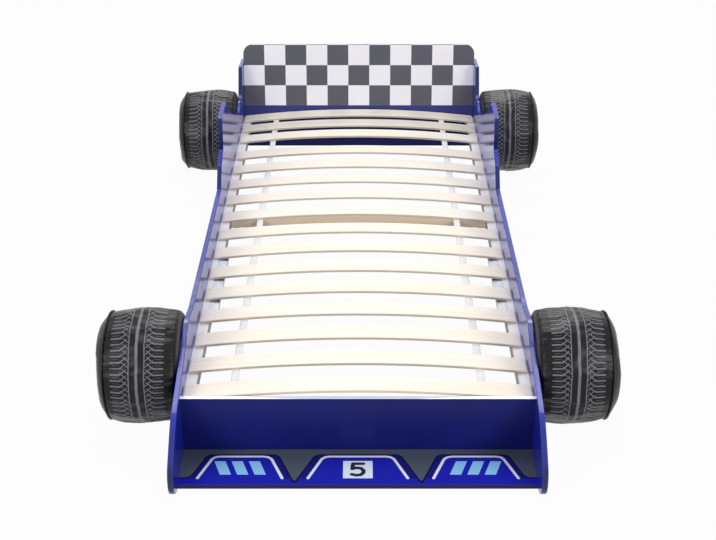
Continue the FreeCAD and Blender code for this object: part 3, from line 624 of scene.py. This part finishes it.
def tyre_section():
    """Half section of a tyre from the middle of its board recess round to the middle of its outer wall,
    the numbers of its sewn rings, and where its axis leaves the outer wall."""
    drop = TYRE_RADIUS - SEAM_RADIUS
    half = TREAD_WIDTH / 2
    crown_radius = (half ** 2 + drop ** 2) / (2 * drop)
    seam_angle = math.degrees(math.asin(half / crown_radius))
    shoulder_angle = math.degrees(math.asin((half - INNER_SHOULDER) / crown_radius))
    crown = arc(half, TYRE_RADIUS - crown_radius, crown_radius, 90 + shoulder_angle, 90 - seam_angle,
                CROWN_STEPS)
    shoulder_radius = crown[0][1]
    rise = shoulder_radius - INNER_FACE_RADIUS
    shoulder = []
    for i in range(1, SHOULDER_STEPS):
        turn = math.radians(90 * i / SHOULDER_STEPS)
        out = (INNER_SHOULDER - PANEL_CLEARANCE) * (1 - math.cos(turn))
        shoulder.append((PANEL_CLEARANCE + out, INNER_FACE_RADIUS + rise * math.sin(turn)))
    fall = SEAM_RADIUS - WALL_RADIUS
    wall_radius = (WALL_BULGE ** 2 + fall ** 2) / (2 * WALL_BULGE)
    wall_angle = math.degrees(math.asin(fall / wall_radius))
    wall_x = TREAD_WIDTH + WALL_BULGE
    wall = arc(wall_x - wall_radius, WALL_RADIUS, wall_radius, wall_angle, 0, WALL_STEPS)[1:]
    dish = []
    for i in range(1, DISH_STEPS):
        share = i / DISH_STEPS
        depth = WALL_DIMPLE * (0.5 - 0.5 * math.cos(math.pi * share))
        dish.append((wall_x - depth, WALL_RADIUS * (1 - share)))
    recess = [(BOARD_DEPTH, BOARD_RADIUS * share) for share in (0.25, 0.5, 0.75, 0.97)]
    inner_face = [(BOARD_DEPTH - 0.002, BOARD_RADIUS), (0.003, BOARD_RADIUS),
                  (PANEL_CLEARANCE, BOARD_RADIUS + 0.002), (PANEL_CLEARANCE, INNER_FACE_RADIUS - 0.003)]
    backing = recess + inner_face
    seam = len(backing) + len(shoulder) + len(crown) - 1
    sewn_rings = list(range(len(backing) + 1)) + [seam]
    return backing + shoulder + crown + wall + dish, sewn_rings, wall_x - WALL_DIMPLE


def revolved(section, end_x):
    """Points and faces of the section turned about X, closed by a point at each end."""
    points = []
    for x, radius in section:
        for i in range(TYRE_SEGMENTS):
            angle = 2 * math.pi * i / TYRE_SEGMENTS
            points.append((x, radius * math.sin(angle), radius * math.cos(angle)))
    faces = []
    for ring in range(len(section) - 1):
        for i in range(TYRE_SEGMENTS):
            near = ring * TYRE_SEGMENTS
            far = near + TYRE_SEGMENTS
            following = (i + 1) % TYRE_SEGMENTS
            faces.append((near + i, near + following, far + following, far + i))
    first_pole = len(points)
    points.append((section[0][0], 0.0, 0.0))
    points.append((end_x, 0.0, 0.0))
    last_ring = (len(section) - 1) * TYRE_SEGMENTS
    for i in range(TYRE_SEGMENTS):
        following = (i + 1) % TYRE_SEGMENTS
        faces.append((following, i, first_pole))
        faces.append((last_ring + i, last_ring + following, first_pole + 1))
    return points, faces


def coordinates(mesh):
    """Places of a mesh's points, one to a row."""
    flat = np.zeros(len(mesh.vertices) * 3)
    mesh.vertices.foreach_get("co", flat)
    return flat.reshape(-1, 3)


def set_coordinates(mesh, places):
    """Put a mesh's points at these places."""
    mesh.vertices.foreach_set("co", places.ravel())
    mesh.update()


def slimmed(start, sewn_points):
    """The cover cut a little slim between its seams, so that its stuffing has to stretch it."""
    slim = start.copy()
    free = np.ones(len(start), bool)
    free[sewn_points] = False
    radius = np.hypot(start[:, 1], start[:, 2])
    on_tread = free & (start[:, 0] < TREAD_WIDTH)
    slim[on_tread, 1:] *= ((radius[on_tread] - SLACK) / radius[on_tread])[:, None]
    slim[free & (start[:, 0] > TREAD_WIDTH), 0] -= SLACK
    return slim


def stuffed(cover, sewn_points):
    """Blow the cover up from inside with a cloth simulation, held at its seams, and return its points."""
    group = cover.vertex_groups.new(name="sewn")
    group.add(sewn_points, 1.0, "REPLACE")
    cloth = cover.modifiers.new("stuffing", "CLOTH")
    settings = cloth.settings
    settings.quality = 6
    settings.mass = 0.3
    settings.tension_stiffness = 18
    settings.compression_stiffness = 18
    settings.shear_stiffness = 6
    settings.bending_stiffness = 0.6
    settings.shrink_min = -0.035
    settings.use_pressure = True
    settings.uniform_pressure_force = 5.0
    settings.vertex_group_mass = group.name
    settings.effector_weights.gravity = 0.0
    cloth.collision_settings.use_collision = False
    scene = bpy.context.scene
    scene.frame_start = 1
    scene.frame_end = SIMULATED_FRAMES
    for number in range(1, SIMULATED_FRAMES + 1):
        scene.frame_set(number)
    evaluated = cover.evaluated_get(bpy.context.evaluated_depsgraph_get())
    swollen = coordinates(evaluated.to_mesh())
    evaluated.to_mesh_clear()
    cover.modifiers.remove(cloth)
    cover.vertex_groups.clear()
    scene.frame_set(1)
    return swollen


def refilled(start, swollen, rings):
    """The swollen cover with each ring brought back to its cut size on average, as full stuffing does."""
    count = rings * TYRE_SEGMENTS
    filled = swollen.copy()
    radius = np.hypot(swollen[:count, 1], swollen[:count, 2])
    growth = (radius - np.hypot(start[:count, 1], start[:count, 2])).reshape(rings, TYRE_SEGMENTS).mean(1)
    slide = (swollen[:count, 0] - start[:count, 0]).reshape(rings, TYRE_SEGMENTS).mean(1)
    filled[:count, 1:] *= (1 - np.repeat(growth, TYRE_SEGMENTS) / radius)[:, None]
    filled[:count, 0] -= np.repeat(slide, TYRE_SEGMENTS)
    return filled


def capped(start, swollen):
    """A share of the way from start to swollen, and nowhere further than the cap."""
    moved = (swollen - start) * SWELL_SHARE
    length = np.linalg.norm(moved, axis=1)
    length[length == 0] = 1.0
    return start + moved * np.minimum(1.0, SWELL_CAP / length)[:, None]


def stuffed_cover(material):
    """Mesh of one tyre's cover, swollen by its stuffing and subdivided."""
    section, sewn_rings, end_x = tyre_section()
    points, faces = revolved(section, end_x)
    cover = new_piece("tyre_pattern", points, faces, material)
    start = coordinates(cover.data)
    sewn_points = [ring * TYRE_SEGMENTS + i for ring in sewn_rings for i in range(TYRE_SEGMENTS)]
    sewn_points.append(len(points) - 2)
    set_coordinates(cover.data, slimmed(start, sewn_points))
    swollen = refilled(start, stuffed(cover, sewn_points), len(section))
    set_coordinates(cover.data, capped(start, swollen))
    smooth = cover.modifiers.new("smooth", "SUBSURF")
    smooth.levels = 1
    smooth.render_levels = 1
    evaluated = cover.evaluated_get(bpy.context.evaluated_depsgraph_get())
    mesh = bpy.data.meshes.new_from_object(evaluated)
    bpy.data.objects.remove(cover)
    return mesh


def waves(angle, twist, table):
    """Sum of waves round the tyre, each given as (count round, size, phase)."""
    return sum(size * np.sin(count * angle + phase + twist) for count, size, phase in table)


def gathered(places):
    """Pull the cover into fine gathers beside its seams and soft dents where the stuffing is loose."""
    angle = np.arctan2(places[:, 1], places[:, 2])
    radius = np.hypot(places[:, 1], places[:, 2])
    from_seam = np.hypot(places[:, 0] - TREAD_WIDTH, radius - SEAM_RADIUS)
    from_shoulder = np.hypot(places[:, 0] - INNER_SHOULDER, radius - (TYRE_RADIUS - 0.009))
    ripple = waves(angle, 40 * places[:, 0], GATHER_WAVES)
    dents = waves(angle, 14 * places[:, 0], DENT_WAVES)
    near = SEAM_GATHER * np.exp(-from_seam / 0.011) + SHOULDER_GATHER * np.exp(-from_shoulder / 0.018)
    shift = ripple * near + DENT_DEPTH * dents * np.clip(from_seam / 0.03, 0, 1)
    pulled = places.copy()
    pulled[:, 1:] *= (1 + shift / radius.clip(0.05))[:, None]
    return pulled


def tube_ring(x, ring_radius, tube_radius, sides, start):
    """Points and faces of a round cord sewn into a ring about X."""
    count = TYRE_SEGMENTS * 2
    points = []
    faces = []
    for i in range(count):
        angle = 2 * math.pi * i / count
        for j in range(sides):
            turn = 2 * math.pi * j / sides
            radius = ring_radius + tube_radius * math.cos(turn)
            along = x + tube_radius * math.sin(turn)
            points.append((along, radius * math.sin(angle), radius * math.cos(angle)))
    for i in range(count):
        near = start + i * sides
        far = start + (i + 1) % count * sides
        for j in range(sides):
            following = (j + 1) % sides
            faces.append((near + j, near + following, far + following, far + j))
    return points, faces


def resting(places, axle_z):
    """Flatten a tyre a little where it meets the floor, and keep it clear of the side panel."""
    sink = np.maximum(0.0, FLOOR_CUSHION - (places[:, 2] + axle_z))
    places[:, 1] += np.sign(places[:, 1]) * sink * 0.5 * np.clip(np.abs(places[:, 1]) / 0.04, 0, 1)
    places[:, 2] = np.maximum(places[:, 2], FLOOR_GAP - axle_z)
    places[:, 0] = np.maximum(places[:, 0], PANEL_CLEARANCE)


def tyres(material):
    """Four stuffed tyres: one swollen cover, turned a little differently on each axle end."""
    cover = stuffed_cover(material)
    base = coordinates(cover)
    cover_faces = [tuple(p.vertices) for p in cover.polygons]
    welt_points, welt_faces = tube_ring(*WELT_PLACE, WELT_RADIUS, 8, len(base))
    turn = 0.0
    for axle in AXLES:
        for side, sign in SIDES.items():
            node = f"tyre_{axle}_{side}"
            low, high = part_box(node)
            axle_y = (low.y + high.y) / 2
            axle_z = TYRE_RADIUS - FLOOR_FLAT
            turn += TURN_PER_TYRE
            spun = base.copy()
            spun[:, 1] = base[:, 1] * math.cos(turn) - base[:, 2] * math.sin(turn)
            spun[:, 2] = base[:, 1] * math.sin(turn) + base[:, 2] * math.cos(turn)
            places = np.vstack([gathered(spun), np.array(welt_points)])
            resting(places, axle_z)
            places[:, 0] *= sign
            faces = cover_faces + welt_faces
            if sign < 0:
                faces = [tuple(reversed(face)) for face in faces]
            piece = new_piece(node + "_cover", places.tolist(), faces, material)
            piece.location = (sign * OUTER_X, axle_y, axle_z)
            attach(piece, "root")
            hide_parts(node)


def slat_underside(x):
    """Height of the underside of the slats at x."""
    return SLAT_CENTRE_Z + math.sqrt(SLAT_RADIUS ** 2 - x ** 2)


def strap_stations(start, end):
    """Places along a strap as (y, sag): flat under each slat, hanging a little in each gap."""
    stations = []
    for name, following in zip(SLAT_NAMES, SLAT_NAMES[1:]):
        slat_start = start if name == SLAT_NAMES[0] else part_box(name)[0].y
        slat_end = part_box(name)[1].y
        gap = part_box(following)[0].y - slat_end
        for share in (0, 0.25, 0.5, 0.75):
            stations.append((slat_start + (slat_end - slat_start) * share, 0.0))
        for i in range(8):
            stations.append((slat_end + gap * i / 8, STRAP_SAG * math.sin(math.pi * i / 8) ** 2))
    last_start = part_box(SLAT_NAMES[-1])[0].y
    for share in (0, 0.25, 0.5, 0.75, 1):
        stations.append((last_start + (end - last_start) * share, 0.0))
    return stations


def strap_ring(x, width, y, sag):
    """Points round a strap at y: its upper face from left to right, and its lower face back again."""
    points = []
    for layer in (0, 1):
        for j in range(STRAP_STEPS + 1):
            share = j / STRAP_STEPS if layer == 0 else 1 - j / STRAP_STEPS
            rounding = STRAP_EDGE if j in (0, STRAP_STEPS) else 0.0
            depth = STRAP_GAP + (rounding if layer == 0 else STRAP_THICKNESS - rounding)
            across = x + width * share
            points.append((across, y, slat_underside(abs(across)) - sag - depth))
    return points


def straps(material):
    """Webbing straps, stretched under the slats."""
    ring = 2 * (STRAP_STEPS + 1)
    for side in SIDES:
        node = "strap_" + side
        low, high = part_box(node)
        width = high.x - low.x
        stations = strap_stations(low.y, high.y)
        points = [point for y, sag in stations for point in strap_ring(low.x, width, y, sag)]
        faces = [tuple(reversed(range(ring))), tuple(range(len(points) - ring, len(points)))]
        for near in range(0, len(points) - ring, ring):
            far = near + ring
            for j in range(ring):
                following = (j + 1) % ring
                faces.append((near + j, near + following, far + following, far + j))
        piece = new_piece(node + "_webbing", points, faces, material)
        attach(piece, "root")
        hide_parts(node)


# ---------------------------------------------------------------- stage, light and camera

def stage():
    """Pale floor that keeps the bed's shadow and reads as white."""
    mesh = bpy.data.meshes.new("floor")
    corners = [(-1, -1), (1, -1), (1, 1), (-1, 1)]
    points = [(x * FLOOR_REACH, y * FLOOR_REACH, FLOOR_LEVEL) for x, y in corners]
    mesh.from_pydata(points, [], [(0, 1, 2, 3)])
    material = bpy.data.materials.new("pale_floor")
    material.use_nodes = True
    nodes = material.node_tree.nodes
    links = material.node_tree.links
    shader = nodes["Principled BSDF"]
    shader.inputs["Base Color"].default_value = (0.62, 0.62, 0.63, 1)
    shader.inputs["Roughness"].default_value = 0.8
    glow = nodes.new("ShaderNodeEmission")
    glow.inputs["Strength"].default_value = 1.0
    seen = seen_directly(material.node_tree)
    share = nodes.new("ShaderNodeMath")
    share.operation = "MULTIPLY"
    links.new(seen, share.inputs[0])
    share.inputs[1].default_value = FLOOR_GLOW
    mixed = nodes.new("ShaderNodeMixShader")
    links.new(share.outputs[0], mixed.inputs[0])
    links.new(shader.outputs[0], mixed.inputs[1])
    links.new(glow.outputs[0], mixed.inputs[2])
    links.new(mixed.outputs[0], nodes["Material Output"].inputs["Surface"])
    mesh.materials.append(material)
    floor = bpy.data.objects.new("floor", mesh)
    bpy.context.scene.collection.objects.link(floor)


def seen_directly(tree):
    """1 for rays that carry the picture: straight from the camera, mirrored or passed through."""
    path = tree.nodes.new("ShaderNodeLightPath")
    found = path.outputs["Is Camera Ray"]
    for name in ("Is Glossy Ray", "Is Transmission Ray"):
        either = tree.nodes.new("ShaderNodeMath")
        either.operation = "MAXIMUM"
        tree.links.new(found, either.inputs[0])
        tree.links.new(path.outputs[name], either.inputs[1])
        found = either.outputs[0]
    return found


def surround():
    """World: white to the eye, and a gentle even light on the object."""
    world = bpy.data.worlds.new("surround")
    bpy.context.scene.world = world
    world.use_nodes = True
    tree = world.node_tree
    background = tree.nodes["Background"]
    background.inputs["Color"].default_value = (1, 1, 1, 1)
    level = tree.nodes.new("ShaderNodeMapRange")
    tree.links.new(seen_directly(tree), level.inputs["Value"])
    level.inputs["To Min"].default_value = AMBIENT
    level.inputs["To Max"].default_value = 1.0
    tree.links.new(level.outputs["Result"], background.inputs["Strength"])


def softbox(name, place, target, size, power):
    """Large soft lamp that points at a target."""
    lamp = bpy.data.lights.new(name, "AREA")
    lamp.shape = "RECTANGLE"
    lamp.size, lamp.size_y = size
    lamp.energy = power
    holder = bpy.data.objects.new(name, lamp)
    holder.location = place
    holder.rotation_euler = (Vector(target) - Vector(place)).to_track_quat("-Z", "Y").to_euler()
    bpy.context.scene.collection.objects.link(holder)


def camera():
    """The photograph's viewpoint."""
    lens = bpy.data.cameras.new("camera")
    lens.sensor_width = SENSOR_WIDTH
    lens.lens = FOCAL_PIXELS * SENSOR_WIDTH / IMAGE_WIDTH
    lens.shift_x = (IMAGE_WIDTH / 2 - CENTRE_COLUMN) / IMAGE_WIDTH
    holder = bpy.data.objects.new("camera", lens)
    holder.location = CAMERA_PLACE
    holder.rotation_euler = (math.radians(90 - CAMERA_PITCH), 0, 0)
    bpy.context.scene.collection.objects.link(holder)
    bpy.context.scene.camera = holder


def main():
    """Dress the solids, add the soft pieces, and set the stage, the light and the camera."""
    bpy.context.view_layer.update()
    materials = slot_materials()
    for part in frame["record"]["subparts"]:
        mesh = NODES[part["node"]].data
        mesh.materials.clear()
        mesh.materials.append(materials[part["material_slot"]])
    tyres(materials["tyre_cover"])
    straps(materials["webbing"])
    stage()
    surround()
    for lamp in LAMPS:
        softbox(*lamp)
    camera()
    bpy.context.scene.view_settings.view_transform = "Standard"


main()
